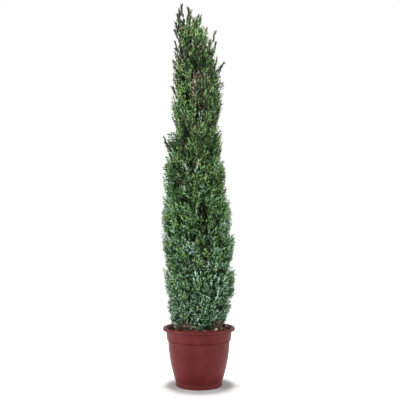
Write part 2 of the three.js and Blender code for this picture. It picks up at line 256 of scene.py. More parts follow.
class Nodes:
    """Fills one node tree. add() takes a node's type, its settings, and the values or links of its sockets."""

    def __init__(self, tree):
        self.tree = tree

    def add(self, kind, settings=None, inputs=None, output=0):
        node = self.tree.nodes.new(kind)
        for key, value in (settings or {}).items():
            setattr(node, key, value)
        self.feed(node, inputs or {})
        return Value(self, node.outputs[output])

    def feed(self, node, inputs):
        for key, value in inputs.items():
            socket = node.inputs[key]
            if isinstance(value, Value):
                self.tree.links.new(value.socket, socket)
            else:
                socket.default_value = value

    def blend(self, share, first, second):
        """One colour into another by a share from 0 to 1."""
        settings = {"data_type": "RGBA"}
        return self.add("ShaderNodeMix", settings, {0: share, 6: first, 7: second}, output=2)

    def between(self, value, low, high):
        """0 below low, 1 above high, and smooth between."""
        settings = {"interpolation_type": "SMOOTHSTEP"}
        return self.add("ShaderNodeMapRange", settings, {0: value, 1: low, 2: high})

    def band(self, value, start, full, fading, gone):
        """0 below start, 1 from full to fading, 0 above gone, and smooth between."""
        return self.between(value, start, full) * (1 - self.between(value, fading, gone))

    def place(self):
        """A point's own place on its piece."""
        return self.add("ShaderNodeTexCoord", output="Object")

    def drawn_out(self, place, scales):
        """A place scaled for a pattern that is drawn out along the smallest of the scales."""
        return self.add("ShaderNodeMapping", None, {"Vector": place, "Scale": scales})

    def noise(self, place, scale, detail, roughness=0.5):
        """Soft clouds round 0.5."""
        inputs = {"Vector": place, "Scale": scale, "Detail": detail, "Roughness": roughness}
        return self.add("ShaderNodeTexNoise", None, inputs)

    def relief(self, strength, depth, height):
        """A relief of height that is as deep as depth, in metres."""
        return self.add("ShaderNodeBump", None, {"Strength": strength, "Distance": depth, "Height": height})


def colour(red, green, blue):
    """A colour given as it looks, from 0 to 255, for a shader."""
    looks = [c / 255 for c in (red, green, blue)]
    return (*(c / 12.92 if c <= 0.04045 else ((c + 0.055) / 1.055) ** 2.4 for c in looks), 1)


def plain_material(name, tone, roughness, specular):
    """A material of one tone all over, with its nodes and its shader for more."""
    material = bpy.data.materials.new(name)
    material.use_nodes = True
    shader = material.node_tree.nodes["Principled BSDF"]
    shader.inputs["Base Color"].default_value = tone
    shader.inputs["Roughness"].default_value = roughness
    shader.inputs["Specular IOR Level"].default_value = specular
    return material, Nodes(material.node_tree), shader


def bark_material():
    """Fibrous bark: grey-brown ridges with dark furrows along the limb."""
    material, nodes, shader = plain_material("cypress bark", colour(110, 88, 72), roughness=0.85, specular=0.2)
    place = nodes.place()
    lengthwise = nodes.drawn_out(place, (420, 420, 46))
    fibres = nodes.noise(lengthwise, scale=1, detail=5, roughness=0.65)
    patches = nodes.noise(place, scale=38, detail=3)
    furrow = nodes.between(fibres, 0.36, 0.6)
    grey = nodes.between(patches, 0.45, 0.66)
    ridge = nodes.blend(grey, colour(126, 100, 80), colour(150, 136, 120))
    tone = nodes.blend(furrow, colour(58, 42, 33), ridge)
    relief = nodes.relief(strength=0.7, depth=0.0012, height=fibres)
    nodes.feed(shader, {"Base Color": tone, "Roughness": 0.92 - 0.14 * furrow, "Normal": relief})
    return material


def twig_material():
    """Young twigs: green-brown where they are still green, brown where they have turned to wood."""
    material, nodes, shader = plain_material("twig bark", colour(60, 52, 38), roughness=0.8, specular=0.2)
    turned = nodes.noise(nodes.place(), scale=60, detail=2)
    tone = nodes.blend(nodes.between(turned, 0.42, 0.62), colour(32, 38, 20), colour(74, 58, 44))
    nodes.feed(shader, {"Base Color": tone})
    return material


# Heights on the pot, in metres, between which painted shade in the groove and under the lip comes in, is whole, fades
# and is gone.
GROOVE_PAINTED_SHADE = (0.1795, 0.1812, 0.1848, 0.1862)
UNDER_LIP_PAINTED_SHADE = (0.2165, 0.2225, 0.2242, 0.2252)
DUSTY_FOOT = 0.03


def pot_material():
    """Satin plastic, faintly clouded, with dust low down and painted shade in the groove and under the lip."""
    material, nodes, shader = plain_material("burgundy pot plastic", colour(90, 25, 27), roughness=0.42, specular=0.15)
    place = nodes.place()
    height = nodes.add("ShaderNodeSeparateXYZ", None, {0: place}, output="Z")
    streaks = nodes.noise(nodes.drawn_out(place, (26, 26, 4)), scale=1, detail=4)
    clouds = nodes.noise(place, scale=9, detail=4, roughness=0.6)
    grain = nodes.noise(place, scale=900, detail=2)
    specks = nodes.add("ShaderNodeTexVoronoi", None, {"Vector": place, "Scale": 230})
    low = 1 - nodes.between(height, 0.0, DUSTY_FOOT)
    dust = nodes.between(streaks * 0.6 + clouds * 0.4, 0.5, 0.74) * 0.06 + low * 0.08
    # Painted shade: the groove and the band under the lip are darkened, most under the lip.
    painted_shade = nodes.band(height, *GROOVE_PAINTED_SHADE) * 0.1 + nodes.band(height, *UNDER_LIP_PAINTED_SHADE) * 0.5
    fleck = (1 - nodes.between(specks, 0.05, 0.12)) * nodes.between(clouds, 0.52, 0.6) * 0.25
    tone = nodes.blend(nodes.between(clouds, 0.35, 0.65), colour(83, 22, 24), colour(91, 25, 27))
    tone = nodes.blend(dust + fleck, tone, colour(140, 96, 88))
    # The painted shade darkens the plastic's tone towards near black there.
    tone = nodes.blend(painted_shade, tone, colour(40, 14, 15))
    rough = 0.38 + 0.1 * streaks + 0.6 * dust
    relief = nodes.relief(strength=0.18, depth=0.0002, height=grain)
    nodes.feed(shader, {"Base Color": tone, "Roughness": rough, "Normal": relief})
    return material


def soil_material():
    """Crumbly dark mix with damp patches."""
    material, nodes, shader = plain_material("potting soil", colour(52, 38, 31), roughness=0.95, specular=0.2)
    place = nodes.place()
    crumbs = nodes.add("ShaderNodeTexVoronoi", None, {"Vector": place, "Scale": 210})
    damp = nodes.noise(place, scale=24, detail=4)
    fine = nodes.noise(place, scale=380, detail=4, roughness=0.7)
    tone = nodes.blend(nodes.between(fine, 0.38, 0.64), colour(36, 26, 21), colour(92, 70, 55))
    tone = nodes.blend(nodes.between(damp, 0.45, 0.62) * 0.5, tone, colour(40, 29, 24))
    relief = nodes.relief(strength=0.9, depth=0.002, height=fine * 0.5 + (1 - crumbs) * 0.5)
    nodes.feed(shader, {"Base Color": tone, "Roughness": 0.9 + 0.08 * fine, "Normal": relief})
    return material


# How sprays look: the wood end, darkened as painted shade; the young tips, lighter as new growth and as painted
# highlight.
SPRAY_TONES = {
    "shaded": ((6, 25, 3), (32, 62, 25)),
    "deep": ((9, 40, 6), (84, 130, 67)),
    "fresh": ((15, 54, 10), (146, 188, 115)),
    "sunny": ((30, 56, 12), (186, 200, 136)),
    "bluish": ((13, 50, 21), (142, 188, 151)),
    "frosted": ((24, 62, 36), (194, 224, 201)),
    "dry": ((118, 98, 80), (240, 226, 204)),
    "withered": ((46, 35, 29), (146, 122, 106)),
    "weathered": ((38, 36, 32), (86, 86, 72)),
}
TONE_NAMES = list(SPRAY_TONES)


def geometry_tree(name, inputs):
    """An empty Geometry Nodes tree with named inputs, and the Value of each."""
    tree = bpy.data.node_groups.new(name, "GeometryNodeTree")
    tree.interface.new_socket("Geometry", in_out="OUTPUT", socket_type="NodeSocketGeometry")
    for label, kind in {"Geometry": "NodeSocketGeometry", **inputs}.items():
        tree.interface.new_socket(label, in_out="INPUT", socket_type=kind)
    nodes = Nodes(tree)
    start = tree.nodes.new("NodeGroupInput")
    return nodes, {socket.name: Value(nodes, socket) for socket in start.outputs if socket.name}


def close_tree(nodes, geometry):
    end = nodes.tree.nodes.new("NodeGroupOutput")
    nodes.feed(end, {"Geometry": geometry})
    return nodes.tree


# The values that a mesh's points and faces carry for the trees, and that the finished piece does without.
CARRIED = ("turn", "size", "tone", "shape", "young", "girth")


def settled(name, mesh, tree, values):
    """The shape that a tree makes of a mesh, as a plain mesh object of its own."""
    piece = bpy.data.objects.new(name, mesh)
    bpy.context.scene.collection.objects.link(piece)
    modifier = piece.modifiers.new("growth", "NODES")
    modifier.node_group = tree
    for item in tree.interface.items_tree:
        if item.in_out == "INPUT" and item.name in values:
            modifier[item.identifier] = values[item.name]
    graph = bpy.context.evaluated_depsgraph_get()
    made = bpy.data.meshes.new_from_object(piece.evaluated_get(graph), depsgraph=graph)
    piece.modifiers.clear()
    piece.data = made
    made.name = name
    bpy.data.meshes.remove(mesh)
    for used in CARRIED:
        if used in made.attributes:
            made.attributes.remove(made.attributes[used])
    return piece


# The bark's ridges, drawn out along the limbs, which all run more or less upwards.
RIDGES = {"scales": (330, 330, 34), "detail": 3.0}


def limb_tree():
    """Limbs along lines: a ring of sides carried along each, with the bark's ridges pushed out of it."""
    kinds = {"Sides": "NodeSocketInt", "Ridge Height": "NodeSocketFloat", "Bark": "NodeSocketMaterial"}
    nodes, given = geometry_tree("limbs", kinds)
    line = nodes.add("GeometryNodeMeshToCurve", None, {"Mesh": given["Geometry"]})
    girth = nodes.add("GeometryNodeInputNamedAttribute", {"data_type": "FLOAT"}, {"Name": "girth"})
    ring = nodes.add("GeometryNodeCurvePrimitiveCircle", None, {"Resolution": given["Sides"], "Radius": 1.0})
    sweep = {"Curve": line, "Profile Curve": ring, "Scale": girth, "Fill Caps": True}
    limbs = nodes.add("GeometryNodeCurveToMesh", None, sweep)
    place = nodes.add("GeometryNodeInputPosition")
    drawn_out = nodes.add("ShaderNodeVectorMath", {"operation": "MULTIPLY"}, {0: place, 1: RIDGES["scales"]})
    ridges = nodes.noise(drawn_out, 1.0, RIDGES["detail"])
    normal = nodes.add("GeometryNodeInputNormal")
    lift = (ridges - 0.5) * given["Ridge Height"]
    push = nodes.add("ShaderNodeVectorMath", {"operation": "SCALE"}, {0: normal, "Scale": lift})
    limbs = nodes.add("GeometryNodeSetPosition", None, {"Geometry": limbs, "Offset": push})
    limbs = nodes.add("GeometryNodeRealizeInstances", None, {"Geometry": limbs})
    limbs = nodes.add("GeometryNodeSetMaterial", None, {"Geometry": limbs, "Material": given["Bark"]})
    return close_tree(nodes, limbs)


def scatter_tree(materials):
    """A shape on each point, with its turn, size and tone from the point; a tone is a pair of materials."""
    nodes, given = geometry_tree("scatter", {"Shapes": "NodeSocketCollection"})

    def carried(name, kind):
        return nodes.add("GeometryNodeInputNamedAttribute", {"data_type": kind}, {"Name": name})

    shelf = {"Collection": given["Shapes"], "Separate Children": True}
    planting = {
        "Points": given["Geometry"],
        "Instance": nodes.add("GeometryNodeCollectionInfo", None, shelf),
        "Pick Instance": True,
        "Instance Index": carried("shape", "INT"),
        "Rotation": carried("turn", "FLOAT_VECTOR"),
        "Scale": carried("size", "FLOAT"),
    }
    planted = nodes.add("GeometryNodeInstanceOnPoints", None, planting)
    planted = nodes.add("GeometryNodeRealizeInstances", None, {"Geometry": planted})
    look = carried("tone", "FLOAT") * 2 + carried("young", "FLOAT")
    equal = {"data_type": "FLOAT", "operation": "EQUAL"}
    for index, pair in enumerate(materials):
        for age, material in enumerate(pair):
            match = nodes.add("FunctionNodeCompare", equal, {0: look, 1: float(2 * index + age), "Epsilon": 0.25})
            dressing = {"Geometry": planted, "Selection": match, "Material": material}
            planted = nodes.add("GeometryNodeSetMaterial", None, dressing)
    return close_tree(nodes, planted)


# ---------------------------------------------------------------- meshes


def mesh_of(name, points, edges=(), faces=()):
    mesh = bpy.data.meshes.new(name)
    mesh.from_pydata([tuple(p) for p in points], [tuple(e) for e in edges], [tuple(f) for f in faces])
    return mesh


def add_values(mesh, name, kind, values, domain="POINT"):
    layer = mesh.attributes.new(name, kind, domain)
    layer.data.foreach_set("vector" if kind == "FLOAT_VECTOR" else "value", np.ravel(values))


def lines_mesh(name, lines):
    """Loose lines of edges, each a list of points with their radii."""
    points, edges, girths = [], [], []
    for places, radii in lines:
        first = len(points)
        points.extend(places)
        girths.extend(radii)
        edges.extend((first + i, first + i + 1) for i in range(len(places) - 1))
    mesh = mesh_of(name, np.array(points) * MM, edges)
    add_values(mesh, "girth", "FLOAT", np.array(girths) * MM)
    return mesh


def turned_mesh(name, profile, sides):
    """A closed shell turned about +Z from (radius, height) points; points on the axis become poles."""
    points, rings = [], []
    for radius, height in profile:
        if radius == 0:
            rings.append([len(points)] * sides)
            points.append((0, 0, height))
        else:
            rings.append(list(range(len(points), len(points) + sides)))
            turns = [2 * math.pi * k / sides for k in range(sides)]
            points.extend((radius * math.cos(t), radius * math.sin(t), height) for t in turns)
    faces = []
    for lower, upper in zip(rings, rings[1:]):
        for k in range(sides):
            n = (k + 1) % sides
            corners = [lower[k], lower[n], upper[n], upper[k]]
            faces.append([c for i, c in enumerate(corners) if c not in corners[:i]])
    return mesh_of(name, np.array(points) * MM, (), faces)


def round_corner(points, radius, steps=4):
    """A profile with every corner between its ends eased by a small arc that leaves a bit of each side straight."""
    points = [np.array(p, float) for p in points]
    eased = [points[0]]
    for before, corner, after in zip(points, points[1:], points[2:]):
        reach = min(radius, *(np.linalg.norm(side - corner) / 2.2 for side in (before, after)))
        start = corner + unit(before - corner) * reach
        end = corner + unit(after - corner) * reach
        for t in np.linspace(0, 1, steps):
            eased.append((1 - t) ** 2 * start + 2 * t * (1 - t) * corner + t**2 * end)
    return eased + [points[-1]]


# ---------------------------------------------------------------- spray shapes


# A shoot's sides, the share of its length where it is thickest, and a direction that no shoot runs along.
SHOOT_SIDES = 3
THICKEST_AT = 0.6
ASKEW = (0.31, 0.95, 0.07)


def spindle(points, faces, start, end, girth):
    """A slim closed shoot between two points, thickest above its middle."""
    along = unit(end - start)
    aside = unit(np.cross(along, ASKEW))
    third = np.cross(along, aside)
    first = len(points)
    points.append(start)
    middle = mixed(start, end, THICKEST_AT)
    for k in range(SHOOT_SIDES):
        turn = 2 * math.pi * k / SHOOT_SIDES
        points.append(middle + girth * (math.cos(turn) * aside + math.sin(turn) * third))
    points.append(end)
    for k in range(SHOOT_SIDES):
        a, b = first + 1 + k, first + 1 + (k + 1) % SHOOT_SIDES
        faces.append((first, b, a))
        faces.append((a, b, first + 1 + SHOOT_SIDES))


SprayShape = namedtuple("SprayShape", "branchlets lean length forks girth")
OPEN_SPRAY = SprayShape(7, math.radians(40), 0.46, 2, 0.04)
SLIM_SPRAY = SprayShape(6, math.radians(20), 0.42, 1, 0.085)
SPRAY_SHAPES = [OPEN_SPRAY] * 5 + [SLIM_SPRAY] * 3
SPRAY_SEED = 400

# A spray's spine is a wood end and a tip that overlap; the rest are shares of the spine, of girths and of lengths.
SPINE = {"bend": 0.07, "wood_end": 0.62, "tip_start": 0.45}
BRANCHLET = {"lowest": 0.08, "spread": 0.74, "stray": 0.5, "wander": 0.5, "girth": 0.9, "lost_upwards": 0.5}
BRANCHLET_LEAN = (0.75, 1.25)
BRANCHLET_LENGTH = (0.8, 1.15)
# The chance that a branchlet takes the tip tone, light new growth and painted highlight, rising along the spray.
YOUNG_CHANCE = {"low": 0.16, "gain": 0.6}
FORK = {"at": 0.45, "wander": 0.5, "length": 0.6, "girth": 0.8}


def spray_shapes():
    """A collection of spray shapes, one unit long and standing on +Z: a shoot with branchlets on two sides."""
    shelf = bpy.data.collections.new("spray shapes")
    bpy.context.scene.collection.children.link(shelf)
    for number, shape in enumerate(SPRAY_SHAPES):
        dice = np.random.default_rng(SPRAY_SEED + number)
        points, faces, young = [], [], []
        bend = dice.uniform(-SPINE["bend"], SPINE["bend"], 2)

        def spine(t):
            return np.array([bend[0] * math.sin(math.pi * t), bend[1] * math.sin(math.pi * t), t])

        def shoot(start, end, girth, age):
            spindle(points, faces, start, end, girth)
            young.extend([age] * 2 * SHOOT_SIDES)

        shoot(spine(0), spine(SPINE["wood_end"]), shape.girth, 0)
        shoot(spine(SPINE["tip_start"]), spine(1), shape.girth, 1)
        for k in range(shape.branchlets):
            stray = k + BRANCHLET["stray"] * dice.random()
            t = BRANCHLET["lowest"] + BRANCHLET["spread"] * stray / shape.branchlets
            side = k * math.pi + dice.normal(0, BRANCHLET["wander"])
            lean = shape.lean * dice.uniform(*BRANCHLET_LEAN)
            length = shape.length * (1 - BRANCHLET["lost_upwards"] * t) * dice.uniform(*BRANCHLET_LENGTH)
            out = np.array([math.cos(side) * math.sin(lean), math.sin(side) * math.sin(lean), math.cos(lean)])
            start = spine(t)
            end = start + out * length
            age = 1 if dice.random() < YOUNG_CHANCE["low"] + YOUNG_CHANCE["gain"] * t else 0
            shoot(start, end, BRANCHLET["girth"] * shape.girth, age)
            if k < shape.forks:
                fork = mixed(start, end, FORK["at"])
                tilt = unit(out + dice.normal(0, FORK["wander"], 3))
                shoot(fork, fork + tilt * length * FORK["length"], FORK["girth"] * shape.girth, 1)
        mesh = mesh_of(f"spray_{number}", points, (), faces)
        mesh.materials.append(spray_materials[0][0])
        add_values(mesh, "young", "FLOAT", young, "FACE")
        shelf.objects.link(bpy.data.objects.new(f"spray_{number}", mesh))
    return shelf


# ---------------------------------------------------------------- growth

# How sprays stand on a twig: their lengths, how far they spread from it and splay outwards, and whether they are slim.
Habit = namedtuple("Habit", "lengths spread splay slim")
FEATHER = Habit((26, 42), 0.6, 0.22, False)
WISP = Habit((14, 23), 0.12, 0.16, True)
SPRIG = Habit((13, 22), 0.34, 0.25, True)
BUSHY = {"lengths": (32, 50), "spread": 0.75, "splay": (0.7, 0.32)}
SPRAYS_ON_TWIG = [0.24, 0.36, 0.47, 0.58, 0.68, 0.78, 0.86, 0.93, 1.0]
ROLL_STEP = 2.4
TIP_SPREAD = 0.12
TIP_GAIN = (1, 1.6)
WANDER = 0.17
SHORTENED = (1, 0.8, 0.6)

# Shares of the tree's height where tones come in or give out, and where a darker collar runs round the crown.
GREEN, FROSTED, SUNNY, BLUISH, COLLAR, CREST = 0.25, 0.38, 0.4, 0.6, 0.8, 0.87
COLLAR_HALF = 0.06

# The dry skirt over the soil, and the living tuft that hangs through it from one x to another.
SKIRT = {"top": 271, "fade": 22, "weight": 22}
TUFT = (-22, 58)

# Where the crown is thin at the front: x, height, half width, half height, and the tone of what is left there.
THIN_PATCHES = [
    (-4, 1318, 24, 30, "dry"),
    (-22, 1262, 13, 44, "dry"),
    (-56, 1062, 17, 34, "shaded"),
    (-62, 1012, 15, 22, "dry"),
    (28, 668, 8, 84, "shaded"),
    (48, 1350, 16, 20, "shaded"),
]
THIN_IN_FRONT_OF = -20
THINNED = {"keeps_under": 0.3, "keeps": 0.08, "takes_tone": 0.6}


class Growth:
    """What grows from one tier: lines of twigs, and sprays with their place, heading, size and tone."""

    def __init__(self, seed):
        self.dice = np.random.default_rng(seed)
        self.twigs = []
        self.sprays = []

    def twig(self, knots, radii, count=4):
        places = curve_through(knots, count)
        self.twigs.append((places, np.linspace(*radii, count)))
        return places

    def add_spray(self, place, heading, length, depth, holds, slim):
        """A spray where it fits: it is shortened, and dropped if it still leaves its space."""
        for size in (share * length for share in SHORTENED):
            tip = place + heading * size
            if holds(tip):
                left = tone_in_thin_patch(mixed(place, tip, 0.5))
                if left is None:
                    self.sprays.append((place, heading, size, self.tone(tip, depth, slim), slim))
                elif depth > THINNED["keeps_under"] or self.dice.random() < THINNED["keeps"]:
                    other = "withered" if left == "dry" else "shaded"
                    tone = left if self.dice.random() < THINNED["takes_tone"] else other
                    self.sprays.append((place, heading, size, TONE_NAMES.index(tone), slim))
                return

    def tone(self, place, depth, slim):
        """A tone by height up the crown and depth under its surface, with some chance in it."""
        share = (place[2] - SOIL_TOP) / (TREE_TOP - SOIL_TOP)
        weights = {
            "shaded": 0.2 + 6 * depth + 3 * max(0, 1 - abs(share - COLLAR) / COLLAR_HALF),
            "deep": 1.4 * np.clip(share / GREEN, 0.5, 1),
            "fresh": 1.9 * np.clip(share / GREEN, 0.25, 1),
            "sunny": 0.06 + 2.2 * max(0, share - SUNNY) + 3 * max(0, share - CREST),
            "bluish": 0.1 + 2.8 * max(0, BLUISH - share),
            "frosted": 0.1 + 4.2 * max(0, FROSTED - share),
            "dry": 0.006 + 0.3 * skirt(place),
            "withered": skirt(place),
            "weathered": 0.05 + (7 if slim else 0) + 0.5 * max(0, share - COLLAR) / 0.2,
        }
        values = np.array([weights[name] for name in TONE_NAMES])
        return self.dice.choice(len(values), p=values / values.sum())


def skirt(place):
    """How dry the crown is near the soil: brown, but for the living tuft that hangs down to the rim in front."""
    if TUFT[0] < place[0] < TUFT[1] and place[1] < 0:
        return 0
    return SKIRT["weight"] * np.clip((SKIRT["top"] - place[2]) / SKIRT["fade"], 0, 1)


def tone_in_thin_patch(point):
    """The tone that a thin patch keeps at a point, or None outside all of them."""
    for x, height, half_width, half_height, tone in THIN_PATCHES:
        inside = ((point[0] - x) / half_width) ** 2 + ((point[2] - height) / half_height) ** 2
        if point[1] < THIN_IN_FRONT_OF and inside < 1:
            return tone
    return None


def bushy(height):
    """The habit of the crown's body: its sprays splay out at the foot and stand upright at the top."""
    share = (height - SOIL_TOP) / (TREE_TOP - SOIL_TOP)
    return Habit(BUSHY["lengths"], BUSHY["spread"], mixed(*BUSHY["splay"], share), False)


def dress_twig(growth, places, outward, depth_at, holds, habit):
    """Sprays along a twig, turned to all sides of it, and one at its tip."""
    dice = growth.dice
    roll = dice.uniform(0, 2 * math.pi)
    for share in SPRAYS_ON_TWIG:
        spot = share * (len(places) - 1)
        i = min(int(spot), len(places) - 2)
        place = mixed(places[i], places[i + 1], spot - i)
        along = unit(places[i + 1] - places[i])
        aside = unit(np.cross(along, outward) + 1e-6)
        third = np.cross(along, aside)
        roll += ROLL_STEP
        spread = TIP_SPREAD if share == 1 else habit.spread
        heading = along + spread * (math.cos(roll) * aside + math.sin(roll) * third) + habit.splay * outward
        heading = unit(heading + dice.normal(0, WANDER, 3))
        length = dice.uniform(*habit.lengths) * (dice.uniform(*TIP_GAIN) if share == 1 else 1)
        growth.add_spray(place, heading, length, depth_at(share), holds, habit.slim)


def level(vector):
    """The vector without its rise."""
    return vector * (1, 1, 0)


STEM_KNOTS = [(-0.08, 0.02), (0.13, 0.1), (0.3, 0.3), (0.52, 0.6), (0.7, 0.9)]
STEM_POINTS = 25

# A plume's branch: where it leaves the stem, its knots as shares of the plume's across, out and rise, and its end.
BRANCH = {"leaves_at": 9, "knots": [(0.5, 0.34, 0.24), (1, 0.52, 0.5)], "end_out": 0.66, "end_below": 0.08}
BRANCH_RADIUS = (2.4, 1.0)
BRANCH_POINTS = 7

# Twigs stand in rows and columns, each in a place of its own in its cell, in layers under the outline. Those of the
# lowest row end between two low rises, and a twig starts some drop under its end.
TWIG_SPACING = 25.5
TWIG_RADIUS = (1.5, 0.5)
FEWEST = {"rows": 4, "columns": 5}
CELL = {"across": (0.2, 0.8), "up": (0.3, 1)}
LOWEST = (0.02, 0.12)
DROP = (0.16, 0.3)
SHORTEST_RISE = 0.04
LAYERS = {"depth": [0, 0.15, 0.3, 0.46], "share": [0.48, 0.22, 0.17, 0.13]}
TWIG_START = {"across": 0.4, "out": 0.5, "nearest": 0.08}
TWIG_BEND = {"across": 0.75, "out": 0.68, "rise": 0.4}
TWIG_END = 0.81
FOOT_DEPTH = 0.3

# Single shoots break up the outline: none up to a height, and more and more over the next stretch.
WISPS = {"from": 700, "over": 600, "share": 0.6, "room": 0.07, "end": 0.96}


def wisps_at(height):
    """How far the crown's outline breaks up into single shoots, from 0 at its foot to 1 near its top."""
    return np.clip((height - WISPS["from"]) / WISPS["over"], 0, 1)


def grow_mass(growth, space, seed):
    """A mass: from its stem a branch runs up each plume, and twigs fan out from that to the outline."""
    dice = growth.dice
    stem = curve_through([space.at(0, out, rise) for out, rise in STEM_KNOTS], STEM_POINTS)
    tops = {}
    for j, middle in enumerate((-PLUME_SPACING, 0, PLUME_SPACING)):
        tops[middle] = mixed(1, SHORTEST_PLUME, chance(seed + j))
        if middle:
            knots = [space.at(middle * across, out, rise) for across, out, rise in BRANCH["knots"]]
            end = space.at(middle, BRANCH["end_out"], tops[middle] - BRANCH["end_below"])
            growth.twig([stem[BRANCH["leaves_at"]], *knots, end], BRANCH_RADIUS, BRANCH_POINTS)
    rows = max(FEWEST["rows"], round(space.height / TWIG_SPACING))
    mean_reach = (space.tier.left + space.tier.right) / 2
    columns = max(FEWEST["columns"], round(2 * space.half * mean_reach / TWIG_SPACING))
    wisps = wisps_at(space.tier.notch)
    for row in range(-1, rows):
        for column in range(columns):
            across = -1 + 2 * (column + dice.uniform(*CELL["across"])) / columns
            middle = PLUME_SPACING * np.clip(round(across / PLUME_SPACING), -1, 1)
            rise = (row + dice.uniform(*CELL["up"])) / rows * tops[middle]
            if rise < LOWEST[0]:
                rise = dice.uniform(*LOWEST)
            low = max(LOWEST[0], rise - dice.uniform(*DROP))
            depth = dice.choice(LAYERS["depth"], p=LAYERS["share"])
            wispy = depth == 0 and dice.random() < WISPS["share"] * wisps
            reach = WISPS["end"] if wispy else TWIG_END - depth - WISPS["room"] * wisps
            end = space.at(across, reach, max(low + SHORTEST_RISE, rise - SHORTEST_RISE))
            start_across = mixed(middle, across, TWIG_START["across"])
            start = space.at(start_across, max(TWIG_START["nearest"], TWIG_START["out"] - depth), low)
            bend_across = mixed(middle, across, TWIG_BEND["across"])
            bend = space.at(bend_across, TWIG_BEND["out"] - depth, mixed(low, rise, TWIG_BEND["rise"]))
            places = growth.twig([start, bend, end], TWIG_RADIUS)
            outward = unit(level(end - axis_at(end[2])))
            habit = WISP if wispy else bushy(end[2])
            dress_twig(growth, places, outward, lambda share: depth + FOOT_DEPTH * (1 - share), space.holds, habit)


# Shoots fill the leader from one height to another, fewer of them on its narrow side.
LEADER_FILL = {"heights": range(1440, 1630, 19), "around": 8, "turn": 0.37, "out": (0.05, 0.8), "crowding": 1.5}
LEADER_ROUNDS = 3
LEADER_FOOT_DEPTH = 0.25
LEADER_TWIG_RADIUS = (2.0, 0.6)
LEADER_TWIG_POINTS = 6
PULLED_OUT = 0.45
BACK_INSIDE = 0.4
FORWARD = np.array([0, -0.1, 0])

# The leader's shoots are slim above this height, and where they stand this far to the left of the centre line.
SLIM_ABOVE = 1605
SLIM_LEFT_BY = 20

# How a leading shoot runs: how far under its tip it starts, and how far out to it, and how far up its twig goes.
Course = namedtuple("Course", "drop out reach")
COURSES = {FEATHER: Course(150, 0.35, 0.72), WISP: Course(90, 0.25, 0.8)}


def grow_leader(growth):
    """The leading shoots round the end of the trunk: slim feathers of sprays."""
    dice = growth.dice
    bowl = bowl_under(len(TIERS))

    def around(turn, height, share):
        axis = axis_at(height)
        to_top = np.clip((TREE_TOP - height) / (TREE_TOP - TOP_NOTCH.notch), 0, 1)
        radius = share * reach_of(LEADER["left"], LEADER["right"], turn) * to_top ** LEADER["taper"]
        place = axis + np.array([radius * math.cos(turn), radius * math.sin(turn), 0])
        place[2] = max(height, bowl(radius, turn) + 2 * GAP)
        return place

    def holds(point):
        offset = point - axis_at(point[2])
        radius = math.hypot(offset[0], offset[1])
        return point[2] > bowl(radius, math.atan2(offset[1], offset[0])) + GAP and point[2] < TREE_TOP

    tips = []
    for row, (height, count) in enumerate(LEADER_ROWS):
        for k in range(count):
            tips.append(around(2 * math.pi * (k / count + TURN_PER_TIER * row), height, 1))
    for height in LEADER_FILL["heights"]:
        for k in range(LEADER_FILL["around"]):
            turn = 2 * math.pi * (k / LEADER_FILL["around"] + LEADER_FILL["turn"] * height)
            crowding = reach_of(LEADER["left"], LEADER["right"], turn) / LEADER["right"]
            if dice.random() < crowding ** LEADER_FILL["crowding"]:
                tips.append(around(turn, height, math.sqrt(dice.uniform(*LEADER_FILL["out"]))))
    lone = [np.array(tip, float) for tip in LONE_TIPS] + [axis_at(TREE_TOP)]
    for number, tip in enumerate(tips + lone):
        to_left = axis_at(tip[2])[0] - tip[0]
        habit = WISP if number >= len(tips) or tip[2] > SLIM_ABOVE or to_left > SLIM_LEFT_BY else FEATHER
        course = COURSES[habit]
        foot = axis_at(tip[2] - course.drop)
        start = mixed(foot, np.array([tip[0], tip[1], foot[2]]), course.out)
        if not holds(start):
            start = mixed(start, tip, BACK_INSIDE)
        end = mixed(start, tip, course.reach)
        bend = mixed(start, end, 0.5)
        bend[:2] = mixed(bend[:2], tip[:2], PULLED_OUT)
        places = growth.twig([start, bend, end], LEADER_TWIG_RADIUS, LEADER_TWIG_POINTS)
        outward = unit(level(tip - axis_at(tip[2])) + FORWARD)
        for _ in range(LEADER_ROUNDS):
            dress_twig(growth, places, outward, lambda share: LEADER_FOOT_DEPTH * (1 - share), holds, habit)


# Single shoots that stand out of the crown's side, from their foot to their tip.
SPRIGS = [
    ((-108, -20, 968), (-156, -22, 1062)),
    ((-112, -10, 985), (-148, -8, 1036)),
    ((66, -15, 1345), (114, -16, 1404)),
    ((-84, -10, 1330), (-116, -12, 1416)),
    ((-84, 5, 1215), (-120, 2, 1296)),
    ((62, -5, 1135), (100, -6, 1215)),
    ((-84, -12, 1572), (-98, -14, 1632)),
    ((-86, -10, 1530), (-107, -12, 1596)),
    ((-84, -14, 1490), (-108, -16, 1560)),
    ((-86, -8, 1440), (-109, -10, 1508)),
]
SPRIG_SAG = np.array([0, 0, -6.0])
SPRIG_REACH = 0.85
SPRIG_RADIUS = (1.8, 0.6)
SPRIG_POINTS = 5
SPRIG_ROUNDS = 3
SPRIG_OVERSHOOT = 4


def grow_sprigs(growth):
    """The single shoots, each a slim twig that sags a little, dressed closely."""
    for foot, tip in SPRIGS:
        foot, tip = np.array(foot, float), np.array(tip, float)
        bend = mixed(foot, tip, 0.5) + SPRIG_SAG
        places = growth.twig([foot, bend, mixed(foot, tip, SPRIG_REACH)], SPRIG_RADIUS, SPRIG_POINTS)
        outward = unit(level(tip - foot))
        top = tip[2] + SPRIG_OVERSHOOT
        for _ in range(SPRIG_ROUNDS):
            dress_twig(growth, places, outward, lambda share: 0, lambda point: point[2] < top, SPRIG)


def clear_shelf(shelf):
    """Takes away the shapes that only the trees needed."""
    for shape in list(shelf.objects):
        bpy.data.objects.remove(shape)
    bpy.data.collections.remove(shelf)


def headings_to_turns(headings, dice):
    """Turns that stand +Z along each heading, with any roll about it."""
    turns = []
    for heading in headings:
        roll = Quaternion((0, 0, 1), dice.uniform(0, 2 * math.pi))
        turns.append(Vector((0, 0, 1)).rotation_difference(Vector(heading)) @ roll)
    return np.array([tuple(turn.to_euler()) for turn in turns])


